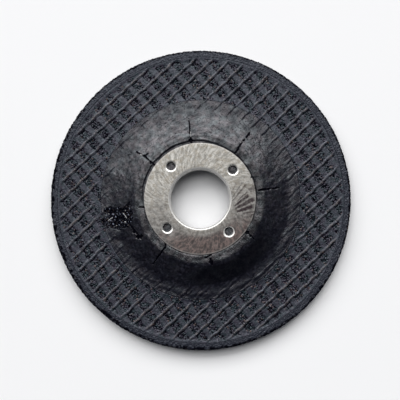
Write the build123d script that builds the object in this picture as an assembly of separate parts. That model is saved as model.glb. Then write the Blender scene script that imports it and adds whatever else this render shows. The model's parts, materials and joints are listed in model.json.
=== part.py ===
from build123d import *

import math
import os

# A depressed-centre grinding disc for an angle grinder, lying as it comes to rest: working
# face down, raised hub up. Four pieces: the moulded abrasive wheel, the woven glass mesh
# sunk in its back, the slit cloth patch formed over the hub, and the steel ring that lines
# the bore. Millimetres. The origin is on the wheel's axis, in the plane of the working
# face, and +Z runs up the axis towards the grinder.

# The wheel
WHEEL_DIAMETER = 115.0
RIM_THICKNESS = 6.0
RIM_CHAMFER = 0.4
RIM_LAND = 2.5
HUB_RISE = 4.6
HUB_THICKNESS = 6.0
HUB_MARGIN = 3.15
CONE_WIDTH = 10.0
SHOULDER_RADIUS = 3.0
FOOT_RADIUS = 8.0
RECESS_MOUTH_RADIUS = 2.5
RECESS_CORNER_RADIUS = 6.0

# The bore and the steel ring pressed into it
BORE_DIAMETER = 22.23
RING_DIAMETER = 42.3
RING_SHEET = 0.5
RING_EDGE_RADIUS = 0.15
BORE_LIP_RADIUS = 0.9
COLLAR_SHORT_OF_RECESS = 0.8

# A nick in the ring's edge
NICK_ANGLE = 22.4
NICK_DEPTH = 0.4

# Four pierced holes, whose burrs claw into the hub and stop the ring turning
CLAW_COUNT = 4
CLAW_CIRCLE_DIAMETER = 33.0
CLAW_FIRST_ANGLE = 41.5
CLAW_HOLE_DIAMETER = 3.2
CLAW_WALL = 0.3
CLAW_MOUTH_RADIUS = 0.5
CLAW_BITE = 1.0
CLAW_CLEARANCE = 0.1

# The glass mesh: thin warp cords over flat weft rovings, bonded by a thin glaze of resin
MESH_TUCK = 1.6
MESH_CLEARANCE = 0.15
MESH_ANGLE = 43.1
WARP_PITCH = 4.87
WARP_WIDTH = 1.1
WARP_CREST_WIDTH = 0.4
WARP_HEIGHT = 0.5
WARP_OFFSET = 2.41
WEFT_PITCH = 5.53
WEFT_WIDTH = 2.1
WEFT_HEIGHT = 0.3
WEFT_EDGE = 0.15
WEFT_OFFSET = 0.14
WEFT_SKEW_ANGLE = 6.25
GLAZE_THICKNESS = 0.1

# The cloth patch over the hub, slit from its bore so that it lies on the cone
PATCH_REACH = 4.0
PATCH_THICKNESS = 0.35
PATCH_PRESSED_THICKNESS = 0.15
PATCH_EDGE_TAPER = 1.2
PATCH_BORE_CLEARANCE = 0.1
RING_SEAT_GAP = 0.9
SLIT_COUNT = 8
SLIT_FIRST_ANGLE = 8.4
SLIT_WIDTH = 0.9
SLIT_TIP_WIDTH = 0.2
SLIT_SHORT_OF_FOOT = 2.3

# The torn spot in the patch, where bare grain shows: its middle, and the reach of its ragged
# edge in even steps of angle
TEAR_ANGLE = 192.2
TEAR_SHORT_OF_FOOT = 3.0
TEAR_REACH = (6.1, 5.9, 5.9, 2.9, 3.2, 5.0, 6.1, 6.3, 4.8, 4.5, 5.1, 5.4)

# How far a round stretch of a turned section may lie from its true arc
ROUND_SAG = 0.07

WHEEL_RADIUS = WHEEL_DIAMETER / 2
HUB_TOP = RIM_THICKNESS + HUB_RISE
RECESS_DEPTH = HUB_TOP - HUB_THICKNESS
RING_RADIUS = RING_DIAMETER / 2
HUB_FLAT_RADIUS = RING_RADIUS + HUB_MARGIN
CONE_FOOT_RADIUS = HUB_FLAT_RADIUS + CONE_WIDTH
CONE_ANGLE = math.atan2(HUB_RISE, CONE_WIDTH)
BORE_RADIUS = BORE_DIAMETER / 2
COLLAR_OUTER_RADIUS = BORE_RADIUS + RING_SHEET
LIP_UNDERSIDE_RADIUS = BORE_LIP_RADIUS - RING_SHEET
RING_UNDERSIDE = HUB_TOP + PATCH_PRESSED_THICKNESS
RING_TOP = RING_UNDERSIDE + RING_SHEET
COLLAR_END = RECESS_DEPTH + COLLAR_SHORT_OF_RECESS
CLAW_INNER_RADIUS = CLAW_HOLE_DIAMETER / 2
CLAW_OUTER_RADIUS = CLAW_INNER_RADIUS + CLAW_WALL
CLAW_PIERCED_RADIUS = CLAW_INNER_RADIUS + CLAW_MOUTH_RADIUS + CLAW_WALL / 2
CLAW_TIP = HUB_TOP - CLAW_BITE
PATCH_RADIUS = CONE_FOOT_RADIUS + PATCH_REACH
MESH_SEAT = RIM_THICKNESS - WARP_HEIGHT
MESH_SEAT_RADIUS = WHEEL_RADIUS - RIM_LAND
MESH_SEAT_INNER_RADIUS = PATCH_RADIUS - MESH_TUCK


def rounded(before, corner, after, radius):
    """The points that stand for a corner rounded to a radius: its arc in even chords, as many
    as keep within ROUND_SAG of the arc."""
    before, corner, after = Vector(*before), Vector(*corner), Vector(*after)
    back = (before - corner).normalized()
    ahead = (after - corner).normalized()
    half_angle = math.radians(back.get_angle(ahead)) / 2
    centre = corner + (back + ahead).normalized() * (radius / math.sin(half_angle))
    start = corner + back * (radius / math.tan(half_angle)) - centre
    turn = math.pi - 2 * half_angle
    if back.cross(ahead).Z > 0:
        turn = -turn
    chords = math.ceil(abs(turn) / (2 * math.acos(1 - ROUND_SAG / radius)))
    return [
        centre + start.rotate(Axis.Z, math.degrees(turn) * number / chords)
        for number in range(chords + 1)
    ]


def revolved(corners, rounds):
    """A solid of revolution about Z, from (radius, height) corners. rounds gives the radius
    that some of the corners, by number, are rounded to."""
    outline = []
    for number, corner in enumerate(corners):
        if number in rounds:
            after = corners[(number + 1) % len(corners)]
            outline += rounded(corners[number - 1], corner, after, rounds[number])
        else:
            outline.append(Vector(*corner))
    with BuildPart() as turned:
        with BuildSketch(Plane.XZ):
            with BuildLine():
                Polyline(*outline, close=True)
            make_face()
        revolve(axis=Axis.Z)
    return turned.part


def hub_corners(lift):
    """The hub's shoulder and foot on the surface that lies lift above the wheel's back,
    measured square to it."""
    shift = lift * math.tan(CONE_ANGLE / 2)
    shoulder = (HUB_FLAT_RADIUS + shift, HUB_TOP + lift)
    foot = (CONE_FOOT_RADIUS + shift, RIM_THICKNESS + lift)
    return shoulder, foot


def washer(outer_radius, inner_radius, thickness):
    """A flat washer that stands on the origin's plane."""
    base = (Align.CENTER, Align.CENTER, Align.MIN)
    return Cylinder(outer_radius, thickness, align=base) - Cylinder(inner_radius, thickness, align=base)


def claw_places():
    """The places of the ring's pierced holes, round the axis."""
    return PolarLocations(CLAW_CIRCLE_DIAMETER / 2, CLAW_COUNT, start_angle=CLAW_FIRST_ANGLE)


def abrasive_wheel():
    """The moulded wheel: flat rim, coned raised hub, a seat for the mesh in its back, and the
    recess in its working face that takes the lock nut."""
    shoulder, foot = hub_corners(0)
    recess_floor = (HUB_FLAT_RADIUS - HUB_THICKNESS * math.tan(CONE_ANGLE / 2), RECESS_DEPTH)
    recess_mouth = (recess_floor[0] + RECESS_DEPTH / math.tan(CONE_ANGLE), 0)
    wheel = revolved(
        [
            (COLLAR_OUTER_RADIUS, RECESS_DEPTH),
            (COLLAR_OUTER_RADIUS, HUB_TOP - LIP_UNDERSIDE_RADIUS),
            (COLLAR_OUTER_RADIUS + LIP_UNDERSIDE_RADIUS, HUB_TOP),
            shoulder,
            foot,
            (MESH_SEAT_INNER_RADIUS, RIM_THICKNESS),
            (MESH_SEAT_INNER_RADIUS, MESH_SEAT),
            (MESH_SEAT_RADIUS, MESH_SEAT),
            (MESH_SEAT_RADIUS, RIM_THICKNESS),
            (WHEEL_RADIUS - RIM_CHAMFER, RIM_THICKNESS),
            (WHEEL_RADIUS, RIM_THICKNESS - RIM_CHAMFER),
            (WHEEL_RADIUS, RIM_CHAMFER),
            (WHEEL_RADIUS - RIM_CHAMFER, 0),
            recess_mouth,
            recess_floor,
        ],
        {3: SHOULDER_RADIUS, 4: FOOT_RADIUS, 13: RECESS_MOUTH_RADIUS, 14: RECESS_CORNER_RADIUS},
    )
    with BuildPart() as pocketed:
        add(wheel)
        with Locations((0, 0, HUB_TOP)):
            with claw_places():
                Hole(CLAW_OUTER_RADIUS + CLAW_CLEARANCE, depth=CLAW_BITE + CLAW_CLEARANCE)
    return pocketed.part


def hub_ring():
    """The steel ring: a washer whose inner edge turns down into a collar through the bore, with
    pierced holes whose edges turn down as claws, and a nick in its rim."""
    flange = revolved(
        [
            (BORE_RADIUS, COLLAR_END),
            (BORE_RADIUS, RING_TOP),
            (RING_RADIUS, RING_TOP),
            (RING_RADIUS, RING_UNDERSIDE),
            (COLLAR_OUTER_RADIUS + LIP_UNDERSIDE_RADIUS, RING_UNDERSIDE),
            (COLLAR_OUTER_RADIUS, HUB_TOP - LIP_UNDERSIDE_RADIUS),
            (COLLAR_OUTER_RADIUS, COLLAR_END),
        ],
        {1: BORE_LIP_RADIUS, 2: RING_EDGE_RADIUS},
    )
    claw = revolved(
        [
            (CLAW_INNER_RADIUS, CLAW_TIP),
            (CLAW_INNER_RADIUS, RING_TOP),
            (CLAW_PIERCED_RADIUS, RING_TOP),
            (CLAW_PIERCED_RADIUS, RING_UNDERSIDE),
            (CLAW_OUTER_RADIUS, RING_UNDERSIDE),
            (CLAW_OUTER_RADIUS, CLAW_TIP),
        ],
        {1: CLAW_MOUTH_RADIUS},
    )
    nick_side = NICK_DEPTH * math.sqrt(2)
    with BuildPart() as ring:
        add(flange)
        with Locations((0, 0, RING_TOP)):
            with claw_places():
                Hole(CLAW_PIERCED_RADIUS, depth=RING_SHEET)
        with claw_places():
            add(claw)
        with PolarLocations(RING_RADIUS, 1, start_angle=NICK_ANGLE):
            Box(nick_side, nick_side, 2 * RING_TOP, rotation=(0, 0, 45), mode=Mode.SUBTRACT)
    return ring.part


def strands(pitch, offset, half_section, reach):
    """Straight strands along X, side by side over the whole mesh, each the mirrored half
    section carried from end to end."""
    count = int(reach / pitch) + 1
    with BuildPart() as laid:
        for number in range(-count, count + 1):
            across = offset + number * pitch
            if abs(across) > reach:
                continue
            with BuildSketch(Plane.YZ.offset(-reach)):
                with BuildLine():
                    points = [(across + side, up) for side, up in half_section]
                    points += [(across - side, up) for side, up in reversed(half_section)]
                    Polyline(*points, close=True)
                make_face()
            extrude(amount=2 * reach)
    return laid.part


def back_mesh():
    """The woven mesh, one bonded sheet: warp cords with narrow crests cross flat weft rovings
    that lie lower, and a glaze of resin closes the windows between them. It is cut round to
    its seat in the wheel."""
    outer_radius = MESH_SEAT_RADIUS - MESH_CLEARANCE
    inner_radius = MESH_SEAT_INNER_RADIUS + MESH_CLEARANCE
    warp_half = [(WARP_WIDTH / 2, 0), (WARP_CREST_WIDTH / 2, WARP_HEIGHT)]
    weft_half = [(WEFT_WIDTH / 2, 0), (WEFT_WIDTH / 2 - WEFT_EDGE, WEFT_HEIGHT)]
    warp = strands(WARP_PITCH, WARP_OFFSET, warp_half, outer_radius)
    weft = strands(WEFT_PITCH, WEFT_OFFSET, weft_half, outer_radius)
    cloth = warp + Rot(Z=90 - WEFT_SKEW_ANGLE) * weft
    blank = washer(outer_radius, inner_radius, WARP_HEIGHT)
    glaze = washer(outer_radius, inner_radius, GLAZE_THICKNESS)
    sheet = glaze + (Rot(Z=MESH_ANGLE) * cloth & blank)
    return Pos(0, 0, MESH_SEAT) * sheet


def tear_outline():
    """The ragged outline of the torn spot, as points round its middle."""
    step = 2 * math.pi / len(TEAR_REACH)
    distance = CONE_FOOT_RADIUS - TEAR_SHORT_OF_FOOT
    x = distance * math.cos(math.radians(TEAR_ANGLE))
    y = distance * math.sin(math.radians(TEAR_ANGLE))
    return [
        (x + reach * math.cos(number * step), y + reach * math.sin(number * step))
        for number, reach in enumerate(TEAR_REACH)
    ]


def hub_patch():
    """The cloth patch: an even skin over the hub and its foot, pressed thin under the ring,
    thinned at its rim, slit along eight rays and torn in one place."""
    lower_shoulder, lower_foot = hub_corners(0)
    upper_shoulder, upper_foot = hub_corners(PATCH_THICKNESS)
    inner_radius = COLLAR_OUTER_RADIUS + LIP_UNDERSIDE_RADIUS + PATCH_BORE_CLEARANCE
    seat_radius = RING_RADIUS + RING_SEAT_GAP
    skin = revolved(
        [
            (inner_radius, HUB_TOP),
            (inner_radius, RING_UNDERSIDE),
            (seat_radius, RING_UNDERSIDE),
            (seat_radius, HUB_TOP + PATCH_THICKNESS),
            upper_shoulder,
            upper_foot,
            (PATCH_RADIUS - PATCH_EDGE_TAPER, RIM_THICKNESS + PATCH_THICKNESS),
            (PATCH_RADIUS, RIM_THICKNESS + PATCH_PRESSED_THICKNESS),
            (PATCH_RADIUS, RIM_THICKNESS),
            lower_foot,
            lower_shoulder,
        ],
        {
            4: SHOULDER_RADIUS + PATCH_THICKNESS,
            5: FOOT_RADIUS - PATCH_THICKNESS,
            9: FOOT_RADIUS,
            10: SHOULDER_RADIUS,
        },
    )
    slit_start = inner_radius - SLIT_WIDTH
    slit_end = CONE_FOOT_RADIUS - SLIT_SHORT_OF_FOOT
    with BuildPart() as patch:
        add(skin)
        with BuildSketch():
            with PolarLocations(0, SLIT_COUNT, start_angle=SLIT_FIRST_ANGLE):
                Polygon(
                    (slit_start, -SLIT_WIDTH / 2),
                    (slit_end, -SLIT_TIP_WIDTH / 2),
                    (slit_end, SLIT_TIP_WIDTH / 2),
                    (slit_start, SLIT_WIDTH / 2),
                    align=None,
                )
            with BuildLine():
                Polyline(*tear_outline(), close=True)
            make_face()
        extrude(amount=RING_TOP, mode=Mode.SUBTRACT)
        with Locations((0, 0, RING_UNDERSIDE)):
            with claw_places():
                Hole(CLAW_OUTER_RADIUS + CLAW_CLEARANCE)
    return patch.part


def main():
    os.makedirs("parts", exist_ok=True)
    pieces = {
        "abrasive_wheel": abrasive_wheel(),
        "back_mesh": back_mesh(),
        "hub_patch": hub_patch(),
        "hub_ring": hub_ring(),
    }
    for name, piece in pieces.items():
        export_step(piece, f"parts/{name}.step")


main()
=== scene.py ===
import json
import math

import bmesh
import bpy
import numpy as np
from mathutils import Matrix, Vector


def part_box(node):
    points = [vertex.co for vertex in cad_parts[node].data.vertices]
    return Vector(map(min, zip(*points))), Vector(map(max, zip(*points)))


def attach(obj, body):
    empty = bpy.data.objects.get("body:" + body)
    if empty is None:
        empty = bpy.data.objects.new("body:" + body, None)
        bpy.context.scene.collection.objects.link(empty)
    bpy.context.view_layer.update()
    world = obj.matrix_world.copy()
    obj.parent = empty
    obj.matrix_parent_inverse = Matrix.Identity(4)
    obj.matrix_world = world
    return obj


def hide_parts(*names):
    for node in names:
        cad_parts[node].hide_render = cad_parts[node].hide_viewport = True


# A depressed-centre grinding disc, dressed over its CAD frame: the grainy wheel, the glass mesh
# in its back, the slit and torn cloth patch on the hub, and the steel ring in the bore. Sizes
# in this script are millimetres until a mesh is made, and angles are degrees from +X.

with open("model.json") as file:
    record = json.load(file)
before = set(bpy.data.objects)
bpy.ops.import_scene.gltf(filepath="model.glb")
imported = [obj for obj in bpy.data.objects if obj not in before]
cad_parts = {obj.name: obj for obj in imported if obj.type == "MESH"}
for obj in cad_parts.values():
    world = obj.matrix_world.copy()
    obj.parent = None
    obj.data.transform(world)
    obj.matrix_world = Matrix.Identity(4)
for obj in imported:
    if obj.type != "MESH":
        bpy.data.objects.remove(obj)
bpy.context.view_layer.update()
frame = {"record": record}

MM = 0.001
BODY = "root"


def node_box(node):
    """A CAD node's lowest and highest corners in millimetres."""
    low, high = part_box(node)
    return np.array(low) / MM, np.array(high) / MM


wheel_high = node_box("abrasive_wheel")[1]
mesh_low, mesh_high = node_box("back_mesh")
patch_high = node_box("hub_patch")[1]
ring_low, ring_high = node_box("hub_ring")

# Sizes that the frame gives
WHEEL_RADIUS = wheel_high[0]
HUB_TOP = wheel_high[2]
RIM_THICKNESS = mesh_high[2]
MESH_SEAT = mesh_low[2]
MESH_RADIUS = mesh_high[0]
PATCH_RADIUS = patch_high[0]
RING_RADIUS = ring_high[0]
RING_TOP = ring_high[2]
COLLAR_END = ring_low[2]
BORE_RADIUS = frame["record"]["mounts"][0]["dims"]["r_mm"]

# The wheel's form, as in the part's source
HUB_FLAT_MARGIN = 3.15
HUB_FLAT_RADIUS = RING_RADIUS + HUB_FLAT_MARGIN
CONE_WIDTH = 10.0
CONE_FOOT_RADIUS = HUB_FLAT_RADIUS + CONE_WIDTH
SHOULDER_RADIUS = 3.0
FOOT_RADIUS = 8.0
HUB_THICKNESS = 6.0
RECESS_DEPTH = HUB_TOP - HUB_THICKNESS
RECESS_MOUTH_RADIUS = 2.5
RECESS_CORNER_RADIUS = 6.0
RIM_CHAMFER = 0.4
MESH_GAP = 0.15
MESH_SEAT_RADIUS = MESH_RADIUS + MESH_GAP
MESH_TUCK = 1.6
MESH_SEAT_INNER_RADIUS = PATCH_RADIUS - MESH_TUCK
CONE_TILT = math.atan2(HUB_TOP - RIM_THICKNESS, CONE_WIDTH)

# The ring's form, as in the part's source
RING_SHEET = 0.5
RING_EDGE_RADIUS = 0.15
BORE_LIP_RADIUS = 0.9
COLLAR_RADIUS = BORE_RADIUS + RING_SHEET
RING_UNDERSIDE = RING_TOP - RING_SHEET
CLAW_CIRCLE_RADIUS = 16.5
CLAW_FIRST_ANGLE = 41.5
CLAW_COUNT = 4
CLAW_INNER_RADIUS = 1.6
CLAW_WALL = 0.3
CLAW_MOUTH_RADIUS = 0.5
CLAW_BITE = 1.0
CLAW_CLEARANCE = 0.1
NICK_ANGLE = 22.4
NICK_DEPTH = 0.4
NICK_HALF_WIDTH = 0.35

# How finely the surfaces are divided
WHEEL_COLUMNS = 1030
MESH_COLUMNS = 1230
MESH_ROWS = 76
PATCH_COLUMNS = 1070
# Rows lie close together this far on either side of the claw circle
CLAW_BAND = 2.4
# The side of a claw's pocket slopes over this width
POCKET_SIDE = 0.4


# Noise and grain


def lattice(cells, seed):
    """A repeatable random number from 0 to 1 for each whole-numbered cell: its three indices,
    each times a large odd number, are added, and the sum's bits are stirred twice."""
    index = cells.astype(np.int64).astype(np.uint64)
    mixed = index[..., 0] * np.uint64(0x9E3779B97F4A7C15)
    mixed += index[..., 1] * np.uint64(0xC2B2AE3D27D4EB4F)
    mixed += index[..., 2] * np.uint64(0x165667B19E3779F9)
    mixed += np.uint64(seed * 7919)
    mixed ^= mixed >> np.uint64(29)
    mixed *= np.uint64(0xBF58476D1CE4E5B9)
    mixed ^= mixed >> np.uint64(32)
    mixed *= np.uint64(0x94D049BB133111EB)
    mixed ^= mixed >> np.uint64(29)
    return (mixed >> np.uint64(11)) / 2.0**53


def smooth_noise(points, size, seed):
    """Noise from -1 to 1: random heights at the corners of cubes of a size, joined across each
    cube by the smooth step 3t^2 - 2t^3."""
    scaled = points / size
    base = np.floor(scaled)
    part = scaled - base
    part = part * part * (3 - 2 * part)
    total = np.zeros(points.shape[:-1])
    for corner in np.ndindex(2, 2, 2):
        share = np.prod(np.where(np.array(corner) == 1, part, 1 - part), axis=-1)
        total += share * lattice(base + np.array(corner), seed)
    return 2 * total - 1


def grains(points, size, seed):
    """Packed grains: every cube of a size holds one grain centre at a random place, and a point
    belongs to the nearest centre. Gives the grain's random height from 0 to 1, the rise of its
    tilted facet at the point, and the gap between grains, from 0 to 1: 1 - 3 times how much
    further off the second nearest centre is, in cube sizes."""
    scaled = points / size
    base = np.floor(scaled)
    nearest = np.full(points.shape[:-1], 9.0)
    second = np.full(points.shape[:-1], 9.0)
    height = np.zeros(points.shape[:-1])
    facet = np.zeros(points.shape[:-1])
    for step in np.ndindex(3, 3, 3):
        cell = base + np.array(step) - 1
        centre = cell + np.stack([lattice(cell, seed + axis) for axis in (1, 2, 3)], axis=-1)
        away = scaled - centre
        distance = np.linalg.norm(away, axis=-1)
        closer = distance < nearest
        second = np.where(closer, nearest, np.minimum(second, distance))
        nearest = np.where(closer, distance, nearest)
        height = np.where(closer, lattice(cell, seed), height)
        tilt = np.stack([lattice(cell, seed + axis) for axis in (4, 5, 6)], axis=-1) - 0.5
        facet = np.where(closer, (away * tilt).sum(axis=-1), facet)
    gap = np.clip(1 - (second - nearest) * 3, 0, 1)
    return height, facet, gap


def smooth_step(value, low, high):
    """0 below low, 1 above high, and the smooth step 3t^2 - 2t^3 between them. low may be the
    larger one, which turns the step round."""
    part = np.clip((value - low) / (high - low), 0, 1)
    return part * part * (3 - 2 * part)


# Surfaces


def closed_faces(rows, columns):
    """Quads over a grid that closes on itself both ways. A section that runs counterclockwise,
    out below and back above, faces outwards."""
    here = np.arange(rows * columns).reshape(rows, columns)
    beside = np.roll(here, -1, axis=1)
    ahead = np.roll(here, -1, axis=0)
    across = np.roll(beside, -1, axis=0)
    return np.stack([here, beside, across, ahead], axis=-1).reshape(-1, 4)


def open_faces(rows, columns):
    """Quads over a grid that closes on itself along its rows and is open at both ends."""
    return closed_faces(rows, columns)[: (rows - 1) * columns]


def turned(radius, height, columns, first_angle=0.0):
    """Points of a section carried round the axis: radius and height stay, and the angle runs
    once round in even steps."""
    angle = math.radians(first_angle) + np.linspace(0, 2 * math.pi, columns, endpoint=False)
    radius = np.broadcast_to(np.asarray(radius).reshape(len(radius), -1), (len(radius), columns))
    height = np.broadcast_to(np.asarray(height).reshape(len(radius), -1), radius.shape)
    return np.stack([radius * np.cos(angle), radius * np.sin(angle), height], axis=-1)


def piece(name, points, faces, material, replaced=(), marks=None):
    """Makes the mesh object of a piece from its points in millimetres, with its point
    attributes, and tells the frame where it belongs."""
    mesh = bpy.data.meshes.new(name)
    mesh.from_pydata(points.reshape(-1, 3) * MM, [], faces)
    mesh.update(calc_edges=True)
    for mark, values in (marks or {}).items():
        attribute = mesh.attributes.new(mark, "FLOAT", "POINT")
        attribute.data.foreach_set("value", values.reshape(-1).astype(np.float32))
    mesh.shade_smooth()
    mesh.materials.append(material)
    made = bpy.data.objects.new(name, mesh)
    bpy.context.scene.collection.objects.link(made)
    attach(made, BODY)
    if replaced:
        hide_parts(*replaced)
    return made


def face_outwards(made, merge_distance):
    """Merges a piece's points that lie within a distance and turns its faces outwards."""
    shape = bmesh.new()
    shape.from_mesh(made.data)
    if merge_distance:
        bmesh.ops.remove_doubles(shape, verts=shape.verts, dist=merge_distance * MM)
    bmesh.ops.recalc_face_normals(shape, faces=shape.faces)
    shape.to_mesh(made.data)
    shape.free()


def hub_surface(radius):
    """Height of the wheel's back at a radius: the flat top, then the shoulder's arc, which drops
    by r - sqrt(r^2 - x^2) at x past its start, the straight cone, the foot's arc, which levels
    out by the same formula, and the flat rim."""
    half_turn = math.tan(CONE_TILT / 2)
    shoulder_start = HUB_FLAT_RADIUS - SHOULDER_RADIUS * half_turn
    foot_end = CONE_FOOT_RADIUS + FOOT_RADIUS * half_turn
    shoulder = np.sqrt(np.clip(SHOULDER_RADIUS**2 - (radius - shoulder_start) ** 2, 0, None))
    foot = np.sqrt(np.clip(FOOT_RADIUS**2 - (foot_end - radius) ** 2, 0, None))
    return np.select(
        [
            radius < shoulder_start,
            radius < shoulder_start + SHOULDER_RADIUS * math.sin(CONE_TILT),
            radius < foot_end - FOOT_RADIUS * math.sin(CONE_TILT),
            radius < foot_end,
        ],
        [
            HUB_TOP,
            HUB_TOP - SHOULDER_RADIUS + shoulder,
            HUB_TOP - (radius - HUB_FLAT_RADIUS) * math.tan(CONE_TILT),
            RIM_THICKNESS + FOOT_RADIUS - foot,
        ],
        RIM_THICKNESS,
    )


def polar(angle, radius):
    """The point at an angle in degrees and a radius."""
    turn = math.radians(angle)
    return np.array([radius * math.cos(turn), radius * math.sin(turn)])


def facing(points, angle):
    """How far each point lies towards an angle in degrees: the cosine of what is between the
    angle and the point's own, seen from the axis."""
    return (points[..., :2] @ polar(angle, 1.0)) / np.hypot(points[..., 0], points[..., 1])


def claw_angle(number):
    """The angle of one of the ring's pierced holes."""
    return CLAW_FIRST_ANGLE + 360 / CLAW_COUNT * number


def claw_places():
    """The middles of the ring's pierced holes."""
    return [polar(claw_angle(number), CLAW_CIRCLE_RADIUS) for number in range(CLAW_COUNT)]


def claw_dip(points):
    """1 within a claw's pocket, falling to 0 by the smooth step over the width of its side."""
    pocket = CLAW_INNER_RADIUS + CLAW_WALL + CLAW_CLEARANCE
    dip = np.zeros(points.shape[:-1])
    for place in claw_places():
        distance = np.linalg.norm(points[..., :2] - place, axis=-1)
        dip = np.maximum(dip, smooth_step(distance, pocket + POCKET_SIDE, pocket))
    return dip


# The woven mesh's lines. Each set's phase counts its strands across the wheel, as a polynomial
# of the place across and along them in units of 50 mm, and is whole on a strand's middle line.

MESH_ANGLE = 43.07
LINE_UNIT = 50.0
WARP_LINES = {
    "count": 10.27,
    "skew": 0.080,
    "bow": 0.016,
    "s_bend": -0.095,
    "crowding": 0.0,
    "offset": -0.50,
}
WEFT_LINES = {
    "count": 8.979,
    "skew": -1.193,
    "bow": 0.384,
    "s_bend": 0.310,
    "crowding": 0.181,
    "offset": -0.22,
}
WARP_HALF_WIDTH = 0.56
WARP_ROUNDNESS = 0.8
WARP_SWAY = 0.11
SWAY_SHIFT = 2.4
WARP_FRAY = 0.11
WEFT_HALF_WIDTH = 1.12
WEFT_SOFT_EDGE = 0.35
WEFT_FRAY = 0.15
GROOVE_OFFSET = 0.84
GROOVE_HALF_WIDTH = 0.30
STRAND_WANDER = 0.12


def strand_phase(across, along, lines):
    """The count of strands up to each point: offset + count a + skew b + bow b^2 + s_bend b^3
    + crowding a^2, with a across the set and b along it."""
    a = across / LINE_UNIT
    b = along / LINE_UNIT
    phase = lines["offset"] + lines["count"] * a + lines["skew"] * b + lines["bow"] * b**2
    return phase + lines["s_bend"] * b**3 + lines["crowding"] * a**2


def nearest_strand(phase, lines):
    """Signed distance in millimetres from the middle line of the nearest strand."""
    return (phase - np.round(phase)) * LINE_UNIT / math.hypot(lines["count"], lines["skew"])


def mesh_relief(points):
    """How far each point lies on a warp cord, on a weft band and in the groove along a cord's
    lower side, all from 0 to 1. A cord is round across its width, (1 - (d / half width)^2) to
    the power of its roundness, and sways by a sine once per weft. A band is flat, with smooth
    steps for sides. A groove is exp(-(d / half width)^2) about a line beside the cord. Every
    line wanders and frays by noise."""
    turn = math.radians(MESH_ANGLE)
    along_warp = points[..., 0] * math.cos(turn) + points[..., 1] * math.sin(turn)
    along_weft = -points[..., 0] * math.sin(turn) + points[..., 1] * math.cos(turn)
    wander = STRAND_WANDER * smooth_noise(points, 6.0, 11)
    warp_phase = strand_phase(along_weft, along_warp, WARP_LINES)
    weft_phase = strand_phase(along_warp, along_weft, WEFT_LINES)
    sway = WARP_SWAY * np.sin(2 * math.pi * weft_phase + SWAY_SHIFT * np.round(warp_phase))
    warp_fray = WARP_FRAY * smooth_noise(points, 1.7, 13)
    weft_fray = WEFT_FRAY * smooth_noise(points, 1.1, 12)
    warp = nearest_strand(warp_phase, WARP_LINES) + wander + sway + warp_fray
    weft = nearest_strand(weft_phase, WEFT_LINES) + wander + weft_fray
    cord = np.clip(1 - (warp / WARP_HALF_WIDTH) ** 2, 0, 1) ** WARP_ROUNDNESS
    side = WEFT_SOFT_EDGE / 2
    band = smooth_step(np.abs(weft), WEFT_HALF_WIDTH + side, WEFT_HALF_WIDTH - side)
    groove = np.exp(-(((warp + GROOVE_OFFSET) / GROOVE_HALF_WIDTH) ** 2))
    return cord, band, groove


# Materials


# A mix node's colour sockets share their names with its number sockets, so they go by number
MIX_FIRST = 6
MIX_SECOND = 7
MIX_COLOUR = 2


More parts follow.
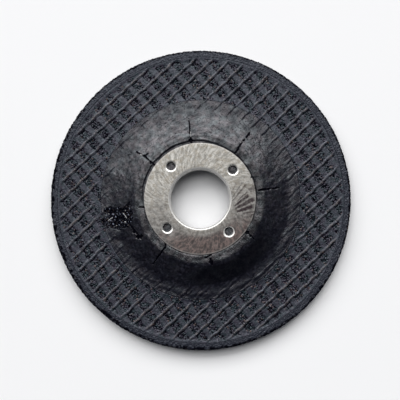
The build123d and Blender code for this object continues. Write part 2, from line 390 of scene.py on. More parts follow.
class Finish:
    """A node material round one principled shader. Its patterns are laid out in millimetres on
    the piece's own object coordinates."""

    def __init__(self, name, base, roughness, metallic=0.0, specular=0.5):
        self.material = bpy.data.materials.new(name)
        self.material.use_nodes = True
        self.tree = self.material.node_tree
        self.shader = self.tree.nodes["Principled BSDF"]
        self.shader.inputs["Base Color"].default_value = (*base, 1)
        self.shader.inputs["Roughness"].default_value = roughness
        self.shader.inputs["Metallic"].default_value = metallic
        self.shader.inputs["Specular IOR Level"].default_value = specular
        self.place = self.scaled(self.node("ShaderNodeTexCoord").outputs["Object"], (1 / MM,) * 3)

    def node(self, kind, **settings):
        """Adds a node with its settings."""
        made = self.tree.nodes.new(kind)
        for setting, value in settings.items():
            setattr(made, setting, value)
        return made

    def put(self, socket, value):
        """Feeds a socket from another socket, a number or a colour."""
        if isinstance(value, bpy.types.NodeSocket):
            self.tree.links.new(value, socket)
        elif isinstance(value, tuple) and len(value) == 3 and socket.type == "RGBA":
            socket.default_value = (*value, 1)
        else:
            socket.default_value = value

    def scaled(self, vector, scale, turn=0.0):
        """The vector scaled along each axis, then turned about Z by degrees."""
        mapping = self.node("ShaderNodeMapping")
        self.put(mapping.inputs["Vector"], vector)
        mapping.inputs["Scale"].default_value = scale
        mapping.inputs["Rotation"].default_value = (0, 0, math.radians(turn))
        return mapping.outputs["Vector"]

    def mark(self, name):
        """One of the mesh's own point attributes, or 0 where the mesh has none of that name."""
        return self.node("ShaderNodeAttribute", attribute_name=name).outputs["Fac"]

    def noise(self, size, detail=2.0, place=None, rough=0.5):
        """Noise from 0 to 1 whose features are about size across."""
        made = self.node("ShaderNodeTexNoise")
        self.put(made.inputs["Vector"], self.place if place is None else place)
        made.inputs["Scale"].default_value = 1 / size
        made.inputs["Detail"].default_value = detail
        made.inputs["Roughness"].default_value = rough
        return made.outputs["Fac"]

    def cells(self, size):
        """Cells of about a size: the distance from each one's centre, and its random number."""
        made = self.node("ShaderNodeTexVoronoi")
        self.put(made.inputs["Vector"], self.place)
        made.inputs["Scale"].default_value = 1 / size
        split = self.node("ShaderNodeSeparateColor")
        self.put(split.inputs["Color"], made.outputs["Color"])
        return made.outputs["Distance"], split.outputs["Red"]

    def maths(self, operation, first, second=0.0):
        """One of Blender's math operations on one or two numbers or sockets."""
        made = self.node("ShaderNodeMath", operation=operation)
        self.put(made.inputs[0], first)
        self.put(made.inputs[1], second)
        return made.outputs[0]

    def plus(self, first, second):
        """The first and the second added."""
        return self.maths("ADD", first, second)

    def minus(self, first, second):
        """The first less the second."""
        return self.maths("SUBTRACT", first, second)

    def larger(self, first, second):
        """The larger of the two."""
        return self.maths("MAXIMUM", first, second)

    def product(self, first, *others):
        """The first times each of the others."""
        result = first
        for other in others:
            result = self.maths("MULTIPLY", result, other)
        return result

    def length(self, across, up):
        """The square root of across^2 + up^2."""
        squares = self.plus(self.product(across, across), self.product(up, up))
        return self.maths("POWER", squares, 0.5)

    def span(self, value, low, high, to_low=0.0, to_high=1.0):
        """The value carried from low..high to to_low..to_high by the smooth step, and held at
        the ends."""
        made = self.node("ShaderNodeMapRange", interpolation_type="SMOOTHSTEP")
        self.put(made.inputs["Value"], value)
        made.inputs["From Min"].default_value = low
        made.inputs["From Max"].default_value = high
        made.inputs["To Min"].default_value = to_low
        made.inputs["To Max"].default_value = to_high
        return made.outputs["Result"]

    def patches(self, size, detail, low, high, rough=0.5):
        """Soft patches about size across: 0 where the noise is under low, 1 where it is over
        high."""
        return self.span(self.noise(size, detail, rough=rough), low, high)

    def blend(self, share, first, second):
        """The first colour, mixed with a share of the second."""
        made = self.node("ShaderNodeMix", data_type="RGBA")
        self.put(made.inputs["Factor"], share)
        self.put(made.inputs[MIX_FIRST], first)
        self.put(made.inputs[MIX_SECOND], second)
        return made.outputs[MIX_COLOUR]

    def bump(self, height, depth, under=None):
        """Lets the surface rise by depth where the height is 1, over an earlier bump."""
        made = self.node("ShaderNodeBump")
        made.inputs["Distance"].default_value = depth * MM
        self.put(made.inputs["Height"], height)
        if under is not None:
            self.put(made.inputs["Normal"], under)
        return made.outputs["Normal"]

    def finish(self, **sockets):
        """Feeds the shader's own sockets, named with underscores for spaces."""
        for name, value in sockets.items():
            self.put(self.shader.inputs[name.replace("_", " ")], value)
        return self.material


BLACK = (0.001, 0.001, 0.003)
COOL_SHEEN = (0.855, 0.90, 1.0)
CLOTH_SHEENS = ((0.99, 0.95, 0.985), (0.90, 0.965, 1.0))
RESIN_COLOURS = ((0.003, 0.005, 0.012), (0.009, 0.010, 0.018))


def grain_finish(name, grain_size, black_share, glint_share, glint):
    """Bonded abrasive grain: grains each of their own shade and gloss, a share of them black and
    a share pale, partly pale grains and partly painted glints. Marks make it smooth resin on the rim's
    land and black along its edge."""
    look = Finish(name, (0.003, 0.004, 0.009), 0.5, specular=0.6)
    distance, random = look.cells(grain_size)
    land = look.mark("land")
    edge = look.mark("edge")
    black = look.larger(look.span(random, black_share + 0.05, black_share), edge)
    black = look.product(black, look.span(land, 0.0, 1.0, 1.0, 0.15))

    shade = look.blend(look.noise(1.6), (0.002, 0.003, 0.008), (0.006, 0.007, 0.017))
    brown = look.blend(look.span(random, 0.92, 0.93), shade, (0.035, 0.022, 0.017))
    # Pale grains and painted glints: on the torn grain the pale share stands for glints of light
    pale_and_glint = look.blend(look.span(random, 1 - glint_share, 1.01 - glint_share), brown, glint)
    resin = look.blend(look.noise(1.2), *RESIN_COLOURS)
    colour = look.blend(look.product(land, 0.9), pale_and_glint, resin)
    colour = look.blend(black, colour, BLACK)
    gloss = look.minus(0.52, look.product(black, 0.49))

    fine = look.bump(look.noise(0.22, 3.0), 0.05)
    coarse = look.bump(look.span(distance, 0.1, 0.75, 1.0, 0.0), 0.10, fine)
    return look.finish(
        Base_Color=colour,
        Roughness=look.span(random, 0.0, 1.0, 0.60, 0.36),
        Normal=coarse,
        Specular_IOR_Level=gloss,
        Specular_Tint=COOL_SHEEN,
    )


def mesh_finish():
    """Resin-soaked glass mesh: greyish cords and bands with fibres along them, the cords partly a
    painted highlight, dark grain with black pits in the windows, and grooves beside the cords painted
    black as the cords' shadow."""
    look = Finish("resin_soaked_mesh", (0.006, 0.007, 0.012), 0.5, specular=0.5)
    distance, random = look.cells(0.6)
    cord = look.mark("cord")
    band = look.mark("band")
    groove = look.mark("groove")

    tinge_share = look.patches(2.0, 2.0, 0.4, 0.6)
    tinge = look.blend(tinge_share, (0.002, 0.011, 0.015), (0.014, 0.009, 0.020))
    resin = look.blend(look.patches(0.9, 3.0, 0.38, 0.62), tinge, (0.016, 0.0185, 0.029))
    window = look.blend(look.span(random, 0.94, 0.97), tinge, (0.075, 0.046, 0.038))
    # The cords' fibre is painted lighter: partly the glass's own grey, partly a painted highlight on
    # their crests
    lit_share = look.patches(2.6, 2.0, 0.42, 0.58)
    lit = look.blend(lit_share, (0.074, 0.058, 0.055), (0.052, 0.055, 0.070))
    fibre = look.blend(look.patches(0.9, 3.0, 0.35, 0.65), (0.014, 0.013, 0.016), lit)
    colour = look.blend(look.span(band, 0.2, 0.9), window, resin)
    colour = look.blend(look.span(cord, 0.33, 0.83), colour, fibre)

    pits = look.larger(look.patches(0.55, 2.0, 0.51, 0.58), look.span(random, 0.14, 0.10))
    pits = look.product(pits, look.span(band, 0.1, 0.9, 1.0, 0.36))
    # Painted shadow: the groove on each cord's lower side, away from the light, is painted black as the
    # cord's shadow
    painted_cord_shadow = look.product(look.span(groove, 0.25, 0.9), look.span(band, 0.1, 0.9, 0.95, 0.62))
    black = look.product(look.larger(pits, painted_cord_shadow), look.span(cord, 0.2, 0.6, 1.0, 0.0))
    colour = look.blend(black, colour, BLACK)
    gloss = look.span(cord, 0.3, 0.9, 0.625, 0.79)
    gloss = look.product(gloss, look.span(black, 0.0, 1.0, 1.0, 0.05))

    turned_place = look.scaled(look.place, (1.0, 1.0, 1.0), turn=-MESH_ANGLE)
    along_warp = look.noise(1.0, 1.0, look.scaled(turned_place, (0.35, 5.0, 1.0)))
    along_weft = look.noise(1.0, 1.0, look.scaled(turned_place, (5.0, 0.35, 1.0)))
    lines = look.plus(look.product(along_warp, cord), look.product(along_weft, band))
    rough_windows = look.span(distance, 0.1, 0.7, 1.0, 0.0)
    rough_windows = look.product(rough_windows, look.span(band, 0.0, 0.9, 1.0, 0.2))
    fine = look.bump(look.noise(0.35, 3.0, rough=0.6), 0.05)
    grain = look.bump(rough_windows, 0.12, fine)
    fibres = look.bump(lines, 0.06, grain)
    return look.finish(
        Base_Color=colour,
        Roughness=look.span(random, 0, 1, 0.56, 0.42),
        Normal=fibres,
        Specular_IOR_Level=gloss,
        Specular_Tint=COOL_SHEEN,
    )


def patch_finish():
    """Resin-soaked cloth: near-black and softly glossy, mottled, finely woven, streaked down its
    rim, darker where its mark is dull, which on the slope turned from the light is painted shade, black
    in specks, and painted black as shade in the slits, the torn place and the crease."""
    look = Finish("resin_soaked_cloth", (0.003, 0.003, 0.006), 0.46, specular=0.85)
    rim = look.mark("rim")
    dull = look.mark("dull")
    sunk = look.span(look.mark("sunk"), 0.06, 0.4)
    mottle = look.noise(2.6, 4.0, rough=0.65)
    turned_place = look.scaled(look.place, (1.0, 1.0, 1.0), turn=-MESH_ANGLE)
    streaks = look.noise(1.0, 2.0, look.scaled(turned_place, (0.24, 0.85, 1.0)))
    streaks = look.span(streaks, 0.3, 0.7)

    tinge = look.blend(look.noise(4.5), (0.0002, 0.0008, 0.004), (0.0014, 0.0006, 0.004))
    colour = look.blend(look.span(mottle, 0.4, 0.65), tinge, (0.003, 0.0025, 0.006))
    colour = look.blend(look.patches(0.9, 3.0, 0.5, 0.66), colour, (0.018, 0.018, 0.028))
    specks = look.patches(0.7, 3.0, 0.54, 0.66)
    # Painted shade: the slits, round gaps, torn place, crease and claw pockets are painted black; the
    # specks are black cloth
    black = look.larger(look.product(specks, 0.6), sunk)
    colour = look.blend(black, colour, BLACK)
    # Painted shade: the slope turned from the light is painted darker, along with the dull flat
    colour = look.blend(look.span(dull, 0.3, 0.8), colour, BLACK)
    colour = look.blend(look.product(rim, streaks, 0.7), colour, (0.012, 0.013, 0.020))

    gloss = look.span(rim, 0.0, 1.0, 1.0, 0.46)
    gloss = look.product(gloss, look.span(black, 0.0, 1.0, 1.0, 0.06))
    small_spots = look.patches(1.6, 3.0, 0.35, 0.65, rough=0.7)
    gloss = look.product(gloss, look.span(small_spots, 0.0, 1.0, 0.88, 1.12))
    wide_spots = look.noise(3.4, 3.0, rough=0.6)
    gloss = look.product(gloss, look.span(wide_spots, 0.38, 0.62, 0.72, 1.24))
    dull_and_shade_spots = look.product(dull, look.span(mottle, 0.35, 0.65, 1.0, 0.4))
    gloss = look.product(gloss, look.span(dull_and_shade_spots, 0.0, 1.0, 1.0, 0.34))

    weave = look.product(
        look.noise(0.5, 1.0, look.scaled(turned_place, (0.35, 2.0, 1.0))),
        look.noise(0.5, 1.0, look.scaled(turned_place, (2.0, 0.35, 1.0))),
    )
    streaked = look.larger(rim, look.span(dull, 0.0, 0.6, 0.6, 0.0))
    woven = look.bump(weave, 0.09)
    drawn = look.bump(look.product(streaks, streaked), 0.065, woven)
    soft = look.bump(look.noise(1.1, 3.0, rough=0.65), 0.105, drawn)
    return look.finish(
        Base_Color=colour,
        Roughness=look.span(mottle, 0.3, 0.7, 0.41, 0.34),
        Normal=soft,
        Specular_IOR_Level=gloss,
        Specular_Tint=look.blend(look.patches(2.8, 3.0, 0.4, 0.6), *CLOTH_SHEENS),
    )


# The ring is painted with shade towards this angle, and brown grime lies beyond the shade
SHADE_AND_GRIME_ANGLE = -78.0
FAINT_CIRCLE_RADIUS = 13.0
# A fan of dark strokes from one pivot: each stroke's angle and half width in degrees, how far
# from the pivot it starts and ends, and its depth of shade
FAN_PIVOT = (7.3, -7.1)
FAN_STROKES = (
    (1.0, 1.3, 9.4, 12.2, 0.6),
    (4.5, 1.2, 11.8, 14.2, 0.75),
    (9.5, 1.4, 9.0, 13.8, 0.7),
    (18.4, 3.6, 7.0, 13.2, 1.0),
    (28.3, 3.3, 6.8, 14.8, 0.95),
    (37.2, 2.6, 7.2, 13.8, 1.0),
    (42.4, 1.3, 9.0, 14.4, 0.75),
    (41.2, 3.4, 15.0, 17.8, 0.7),
    (51.0, 1.4, 7.6, 16.0, 0.7),
    (56.5, 1.2, 8.2, 16.0, 0.5),
    (63.5, 1.1, 8.0, 14.4, 0.45),
    (-9.0, 2.6, 10.0, 13.4, 0.6),
    (-21.0, 3.0, 10.0, 13.6, 0.6),
)


def fan_strokes(look, across, up):
    """The fan's dark strokes: each is where the angle from the pivot is near its own and the
    reach is between its ends, with ragged sides."""
    across = look.minus(across, FAN_PIVOT[0])
    up = look.minus(up, FAN_PIVOT[1])
    ragged = look.product(look.minus(look.noise(0.8, 3.0, rough=0.65), 0.5), 0.10)
    angle = look.plus(look.maths("ARCTAN2", up, across), ragged)
    reach = look.length(across, up)
    strokes = 0.0
    for middle, half, start, end, depth in FAN_STROKES:
        away = look.maths("ABSOLUTE", look.minus(angle, math.radians(middle)))
        stroke = look.product(
            look.span(away, math.radians(half * 0.6), math.radians(half * 1.3), depth, 0.0),
            look.span(reach, start - 0.4, start + 0.4),
            look.span(reach, end + 0.5, end - 0.5),
        )
        strokes = look.larger(strokes, stroke)
    return look.product(strokes, look.span(look.noise(1.1, 3.0), 0.38, 0.55, 0.7, 1.0))


def slanting_strokes(look, radius, angle):
    """Noise drawn out along lines that slant round the ring."""
    slant = look.plus(look.product(angle, 16.0), look.product(radius, 0.45))
    place = look.node("ShaderNodeCombineXYZ")
    look.put(place.inputs["X"], look.product(slant, 1.2))
    look.put(place.inputs["Y"], look.product(radius, 0.35))
    return look.noise(1.0, 3.0, place.outputs[0], rough=0.6)


def ring_finish():
    """Pressed steel, dulled and scuffed: slanting strokes round the ring, painted shade that dims it
    towards one side and brown grime beyond, an outer edge painted pale as wear and as a painted
    highlight, a fan of dark strokes, a faint circle, and mouths and lip polished and painted bright as
    highlights."""
    look = Finish("scuffed_steel", (0.30, 0.29, 0.27), 0.45, metallic=0.75)
    split = look.node("ShaderNodeSeparateXYZ")
    look.put(split.inputs[0], look.place)
    across = split.outputs["X"]
    up = split.outputs["Y"]
    radius = look.length(across, up)
    strokes = slanting_strokes(look, radius, look.maths("ARCTAN2", up, across))

    grime_way = polar(SHADE_AND_GRIME_ANGLE, 1.0)
    towards_shade_and_grime = look.plus(
        look.product(across, float(grime_way[0])),
        look.product(up, float(grime_way[1])),
    )
    raggedness = look.product(look.minus(look.noise(3.2, 3.0, rough=0.6), 0.5), 12.0)
    ragged = look.plus(towards_shade_and_grime, raggedness)

    clean_share = look.span(strokes, 0.35, 0.65)
    colour = look.blend(clean_share, (0.216, 0.208, 0.190), (0.402, 0.391, 0.364))
    stain = look.product(look.patches(1.9, 4.0, 0.47, 0.62, rough=0.7), 0.62)
    colour = look.blend(stain, colour, (0.225, 0.198, 0.158))
    # Painted shade: the ring is painted dimmer towards one side, where less light falls on it
    painted_shade_share = look.patches(1.2, 4.0, 0.38, 0.62)
    painted_shade_colour = look.blend(painted_shade_share, (0.09, 0.086, 0.083), (0.21, 0.20, 0.192))
    painted_shade = look.span(ragged, -9.0, 9.0, 0.0, 0.85)
    painted_shade = look.product(painted_shade, look.span(radius, 12.4, 15.6, 0.62, 1.0))
    colour = look.blend(painted_shade, colour, painted_shade_colour)

    speckle = look.span(look.plus(look.noise(0.9, 4.0, rough=0.7), strokes), 0.84, 1.18)
    brown = look.blend(speckle, (0.024, 0.016, 0.016), (0.150, 0.104, 0.094))
    grimy = look.product(look.span(ragged, 7.0, 15.5), look.span(radius, 13.2, 15.4, 0.1, 1.0))
    colour = look.blend(look.product(grimy, 0.85), colour, brown)

    # The outer edge is painted pale: partly wear, partly a painted highlight
    edge_wear_and_highlight = look.span(radius, RING_RADIUS - 0.65, RING_RADIUS - 0.3, 0.0, 0.5)
    colour = look.blend(edge_wear_and_highlight, colour, (0.31, 0.295, 0.285))
    colour = look.blend(fan_strokes(look, across, up), colour, (0.022, 0.014, 0.017))
    pits = look.product(look.patches(0.5, 2.0, 0.60, 0.68), 0.55)
    colour = look.blend(pits, colour, (0.06, 0.05, 0.045))
    from_circle = look.maths("ABSOLUTE", look.minus(radius, FAINT_CIRCLE_RADIUS))
    circle = look.span(from_circle, 0.0, 0.35, 0.22, 0.0)
    colour = look.blend(circle, colour, (0.12, 0.11, 0.10))
    # Mouths and lip are painted near white: partly polish, partly a painted highlight
    polished = look.mark("polished")
    colour = look.blend(polished, colour, (0.85, 0.84, 0.81))
    # The bore's lip is painted pale and made less metallic, as a painted highlight on its shaded side
    lip = look.span(radius, BORE_RADIUS + BORE_LIP_RADIUS, BORE_RADIUS + 0.5 * BORE_LIP_RADIUS)
    colour = look.blend(look.product(lip, 0.8), colour, (0.70, 0.69, 0.67))

    scuffs = look.bump(strokes, 0.03)
    dents = look.bump(look.noise(5.0), 0.10, scuffs)
    roughness = look.plus(look.span(strokes, 0.3, 0.7, 0.50, 0.42), look.product(grimy, 0.10))
    roughness = look.minus(roughness, look.product(polished, 0.12))
    metallic = look.span(grimy, 0.0, 1.0, 0.80, 0.45)
    metallic = look.product(metallic, look.span(lip, 0.0, 1.0, 1.0, 0.55))
    return look.finish(
        Base_Color=colour,
        Roughness=roughness,
        Metallic=metallic,
        Normal=dents,
    )


def fibre_finish():
    """Bare glass fibre, pale where the cloth is torn open."""
    look = Finish("torn_glass_fibre", (0.28, 0.28, 0.28), 0.45, specular=0.6)
    colour = look.blend(look.patches(0.6, 2.0, 0.4, 0.6), (0.17, 0.17, 0.175), (0.50, 0.50, 0.50))
    return look.finish(Base_Color=colour, Normal=look.bump(look.noise(0.15), 0.03))


def floor_finish():
    """Plain matt white board."""
    look = Finish("plain_board", (0.90, 0.90, 0.905), 0.9, specular=0.0)
    colour = look.blend(look.noise(60.0), (0.895, 0.895, 0.90), (0.905, 0.905, 0.91))
    return look.finish(Base_Color=colour)


# The wheel


def rounded_corner(before, corner, after, radius, steps):
    """Points of a corner rounded to a radius: its arc from one side to the other, which it
    touches at the tangent points, in even steps of turn."""
    before, corner, after = (np.asarray(point, float) for point in (before, corner, after))
    back = (before - corner) / np.linalg.norm(before - corner)
    ahead = (after - corner) / np.linalg.norm(after - corner)
    half = math.acos(np.clip(back @ ahead, -1, 1)) / 2
    middle = (back + ahead) / np.linalg.norm(back + ahead)
    centre = corner + middle * radius / math.sin(half)
    start = corner + back * radius / math.tan(half) - centre
    turn = math.pi - 2 * half
    if back[0] * ahead[1] - back[1] * ahead[0] > 0:
        turn = -turn
    angles = np.linspace(0, turn, steps + 1)
    cosine, sine = np.cos(angles), np.sin(angles)
    across = start[0] * cosine - start[1] * sine
    up = start[0] * sine + start[1] * cosine
    return centre + np.stack([across, up], axis=-1)


def section_rows(corners):
    """Rows of a closed section. Each corner is its radius, height, rounding radius (0 for a
    sharp one), steps of its arc, steps of the straight run to the next corner, and the depth of
    grain on that run. Gives the rows' radii, heights and grain depths."""
    arcs = []
    for number, (radius, height, rounding, arc_steps, _, _) in enumerate(corners):
        before = corners[number - 1][:2]
        after = corners[(number + 1) % len(corners)][:2]
        if rounding:
            arcs.append(rounded_corner(before, (radius, height), after, rounding, arc_steps))
        else:
            arcs.append(np.array([(radius, height)], float))
    rows = []
    depths = []
    for number, (_, _, _, _, run_steps, depth) in enumerate(corners):
        here = arcs[number]
        ahead = arcs[(number + 1) % len(arcs)]
        run = np.linspace(here[-1], ahead[0], run_steps, endpoint=False)
        rows += [here[:-1], run]
        depths += [np.full(len(here) - 1 + run_steps, depth)]
    rows = np.concatenate(rows)
    return rows[:, 0], rows[:, 1], np.concatenate(depths)


def section_normals(radius, height):
    """The outward directions of a counterclockwise section's rows, square to the line through
    each row's two neighbours."""
    along_radius = np.roll(radius, -1) - np.roll(radius, 1)
    along_height = np.roll(height, -1) - np.roll(height, 1)
    length = np.hypot(along_radius, along_height)
    return along_height / length, -along_radius / length


# How deep the grain is cut on the edge, on the land of the rim and on the working face
RIM_GRAIN = 0.30
LAND_GRAIN = 0.09
FACE_GRAIN = 0.30
GRAIN_SIZE = 0.75
RIM_SWELL = 0.16
# The rim's edge is made black, widest towards this angle
DARK_EDGE_WIDTH = 1.0
DARK_EDGE_ANGLE = 220.0


def wheel_grain():
    """The moulded wheel: its section carried round the axis. Packed grains cut every bare row
    square to the section, by the row's depth times 0.55 height - 0.9 facet + 0.5 gap, held to
    0..1.4; the edge swells first, so that single grains stand out of it. Its hub has pockets
    for the ring's claws. Marks show where the land is smooth and where the edge is black."""
    recess_floor = HUB_FLAT_RADIUS - HUB_THICKNESS * math.tan(CONE_TILT / 2)
    recess_mouth = recess_floor + RECESS_DEPTH / math.tan(CONE_TILT)
    chamfer_radius = WHEEL_RADIUS - RIM_CHAMFER
    lip = BORE_LIP_RADIUS - RING_SHEET
    radius, height, depth = section_rows(
        [
            (COLLAR_RADIUS, RECESS_DEPTH, 0, 0, 5, FACE_GRAIN),
            (recess_floor, RECESS_DEPTH, RECESS_CORNER_RADIUS, 3, 5, FACE_GRAIN),
            (recess_mouth, 0, RECESS_MOUTH_RADIUS, 2, 18, FACE_GRAIN),
            (chamfer_radius, 0, 0, 0, 2, RIM_GRAIN),
            (WHEEL_RADIUS, RIM_CHAMFER, 0, 0, 19, RIM_GRAIN),
            (WHEEL_RADIUS, RIM_THICKNESS - RIM_CHAMFER, 0, 0, 2, RIM_GRAIN),
            (chamfer_radius, RIM_THICKNESS, 0, 0, 9, LAND_GRAIN),
            (MESH_SEAT_RADIUS, RIM_THICKNESS, 0, 0, 1, 0),
            (MESH_SEAT_RADIUS, MESH_SEAT, 0, 0, 1, 0),
            (MESH_SEAT_INNER_RADIUS, MESH_SEAT, 0, 0, 1, 0),
            (MESH_SEAT_INNER_RADIUS, RIM_THICKNESS, 0, 0, 1, 0),
            (CONE_FOOT_RADIUS, RIM_THICKNESS, FOOT_RADIUS, 4, 1, 0),
            (HUB_FLAT_RADIUS, HUB_TOP, SHOULDER_RADIUS, 3, 1, 0),
            (CLAW_CIRCLE_RADIUS + CLAW_BAND, HUB_TOP, 0, 0, 14, 0),
            (CLAW_CIRCLE_RADIUS - CLAW_BAND, HUB_TOP, 0, 0, 1, 0),
            (COLLAR_RADIUS + lip, HUB_TOP, 0, 0, 1, 0),
            (COLLAR_RADIUS, HUB_TOP - lip, 0, 0, 2, 0),
        ]
    )
    points = turned(radius, height, WHEEL_COLUMNS)
    along_radius, along_height = section_normals(radius, height)
    rise, facet, gap = grains(points, GRAIN_SIZE, 100)
    sunk = depth[:, None] * np.clip(0.55 * rise - 0.9 * facet + 0.5 * gap, 0, 1.4)
    sunk = sunk - RIM_SWELL * smooth_step(radius, chamfer_radius, WHEEL_RADIUS)[:, None]
    points[..., 0] -= sunk * along_radius[:, None] * points[..., 0] / radius[:, None]
    points[..., 1] -= sunk * along_radius[:, None] * points[..., 1] / radius[:, None]
    points[..., 2] -= sunk * along_height[:, None]
    on_top = (height > HUB_TOP - 0.01)[:, None]
    points[..., 2] -= on_top * claw_dip(points) * (CLAW_BITE + CLAW_CLEARANCE)

    upper = smooth_step(height, RIM_THICKNESS - 0.8, RIM_THICKNESS - 0.5)[:, None]
    land = upper * smooth_step(radius, chamfer_radius - 0.15, chamfer_radius - 0.4)[:, None]
    uneven = 0.4 * facing(points, DARK_EDGE_ANGLE) + 0.4 * smooth_noise(points, 1.5, 101)
    reach = radius[:, None] + DARK_EDGE_WIDTH * (1 + uneven)
    edge = upper * smooth_step(reach, WHEEL_RADIUS - 0.15, WHEEL_RADIUS + 0.15) * (rise > 0.4)
    piece(
        "wheel_grain",
        points,
        closed_faces(len(radius), WHEEL_COLUMNS),
        grain_finish("bonded_grain", 0.6, 0.25, 0.02, (0.16, 0.16, 0.17)),
        ["abrasive_wheel"],
        {"land": land * (1 - edge), "edge": edge},
    )


# The glass mesh

CORD_HEIGHT = 0.47
CORD_UNEVENNESS = 0.02
BAND_HEIGHT = 0.30
BAND_UNEVENNESS = 0.05
GROOVE_DEPTH = 0.22
WINDOW_FLOOR = 0.07
WINDOW_GRAIN = 0.38
WINDOW_GRAIN_SIZE = 0.72
# The mesh fades into the land of the rim over this width
MESH_FADE_WIDTH = 1.8
MESH_FADE_SHARE = 0.95
# Resin fills the windows from the first radius inwards, fully from the second
RESIN_FILL_START = 42.6
RESIN_FILL_END = 38.4
# The mesh's land lies this far under the rim's, and the resin in its windows further down
LEVEL_DROP = 0.04
RESIN_DROP = 0.03


def mesh_cloth():
    """The woven mesh in its seat. Its top is the highest of the warp cords, the weft bands and
    the windows' floor, whose grain is 0.75 height + 0.6 facet - 0.6 gap + 0.15, held to 0..1,
    and which lies lower under the bands. Grooves run beside the cords. Wear, a wide noise, scales
    cords, bands and grooves. Resin fills the windows near the patch, the top rises to the land at
    its outer edge, and by the patch it is a thin skin with the cords faintly in it."""
    outer = MESH_SEAT_RADIUS - 0.02
    inner = MESH_SEAT_INNER_RADIUS + MESH_GAP
    top_radius = np.linspace(outer, inner, MESH_ROWS)
    row_radius = top_radius[:, None]
    points = turned(top_radius, np.full(MESH_ROWS, MESH_SEAT), MESH_COLUMNS)
    cord, band, groove = mesh_relief(points)
    wear = 0.86 + 0.14 * smooth_noise(points, 7.0, 21)
    rise, facet, gap = grains(points, WINDOW_GRAIN_SIZE, 30)
    grain = np.clip(0.75 * rise + 0.6 * facet + 0.15 - 0.6 * gap, 0, 1)
    fine = smooth_noise(points, 0.6, 41)
    broad = smooth_noise(points, 3.0, 42)
    full = RIM_THICKNESS - MESH_SEAT
    level = full - LEVEL_DROP

    filled = smooth_step(row_radius + 1.3 * broad, RESIN_FILL_START, RESIN_FILL_END)
    filled = np.maximum(filled, smooth_step(row_radius, PATCH_RADIUS + 0.6, PATCH_RADIUS + 0.1))
    window = WINDOW_FLOOR + WINDOW_GRAIN * grain
    window = window + (level - RESIN_DROP - window) * filled
    weft = (BAND_HEIGHT * wear + BAND_UNEVENNESS * fine) * band
    low = np.maximum(window * (1 - 0.6 * band * (1 - filled)), weft)
    low = low - GROOVE_DEPTH * wear * groove * (1 - 0.75 * band) * (1 - 0.4 * filled)
    warp = (CORD_HEIGHT * wear + CORD_UNEVENNESS * fine) * cord
    height = np.maximum(np.clip(low, 0.01, None), warp)

    land = smooth_step(row_radius + 0.5 * broad, outer - MESH_FADE_WIDTH, outer - 0.2)
    land = np.maximum(land, smooth_step(row_radius, outer - 0.4, outer))
    height = height + (level - height) * land * MESH_FADE_SHARE
    beside_patch = smooth_step(row_radius, PATCH_RADIUS + 1.2, PATCH_RADIUS + 0.1)
    skin = full + 0.01 + 0.11 * cord - 0.06 * groove
    height = height + (skin - height) * beside_patch
    under_patch = row_radius < PATCH_RADIUS + 0.02
    points[..., 2] += np.where(under_patch, np.minimum(height, full - 0.01), height)

    under = turned([inner, outer], [MESH_SEAT, MESH_SEAT], MESH_COLUMNS)
    everything = np.concatenate([under, points])
    padding = np.zeros((2, MESH_COLUMNS))
    fade = (1 - 0.8 * land) * (1 - 0.6 * filled)
    piece(
        "mesh_cloth",
        everything,
        closed_faces(len(everything), MESH_COLUMNS),
        mesh_finish(),
        ["back_mesh"],
        {
            "cord": np.concatenate([padding, cord * fade]),
            "band": np.concatenate([padding, np.maximum(band, land)]),
            "groove": np.concatenate([padding, groove * fade]),
        },
    )


# The cloth patch

PATCH_THICKNESS = 0.35
PATCH_PRESSED_THICKNESS = 0.15
PATCH_BORE_CLEARANCE = 0.1
PATCH_EDGE_THICKNESS = 0.03
PATCH_EDGE_TAPER = 2.6
# The cloth stands away from the ring on one side and meets it elsewhere
SEAT_GAP = 0.2
OPEN_SEAT_GAP = 0.9
OPEN_SEAT_ANGLE = 125.0
SEAT_LIP_RISE = 0.10
SEAT_LIP_WIDTH = 1.3
# In the claws' pockets the cloth is this thick
POCKET_THICKNESS = 0.10
# The cloth is dull over the hub's flat, most towards the first angle, and on the slope towards
# the second it is dull and painted with shade, on the side turned from the light
DULL_FLAT_ANGLE = 8.0
DULL_FLAT_SHARE = 0.68
DULL_SHADED_SLOPE_ANGLE = 297.0
DULL_SHADED_SLOPE_SHARE = 0.75
# On the slope the dullness and painted shade come and go between these radii
DULL_SHADED_SLOPE_INNER_EDGE = (24.5, 26.5)
DULL_SHADED_SLOPE_OUTER_EDGE = (34.0, 32.0)

# Slits in the cloth: each is its path, and its width at the path's start before noise
SLITS = (
    (((22.3, 3.0), (23.6, 3.2), (27.0, 4.0), (30.6, 4.4)), 0.62),
    (((13.3, 17.2), (14.4, 18.6), (15.4, 20.4), (17.1, 22.7)), 0.50),
    (((17.8, 23.6), (19.3, 25.8)), 0.36),
    (((-3.3, 20.9), (-3.5, 23.3), (-3.9, 26.3), (-4.3, 31.0)), 0.36),
    (((-3.4, 20.9), (-3.5, 22.4)), 0.95),
    (((-17.2, 12.6), (-19.2, 14.5), (-20.8, 16.0), (-24.2, 17.9)), 0.44),
    (((-21.2, 16.3), (-19.6, 17.3)), 0.32),
    (((-21.3, -3.2), (-22.6, -3.2), (-23.8, -3.8)), 0.50),
    (((-12.9, -16.6), (-12.8, -18.0), (-14.3, -19.9), (-16.4, -22.7), (-18.4, -25.4)), 0.54),
    (((1.9, -22.3), (4.3, -21.2)), 0.55),
    (((3.9, -22.7), (4.7, -25.0)), 0.68),
    (((16.8, -11.9), (18.2, -13.1), (20.8, -15.5)), 0.62),
)

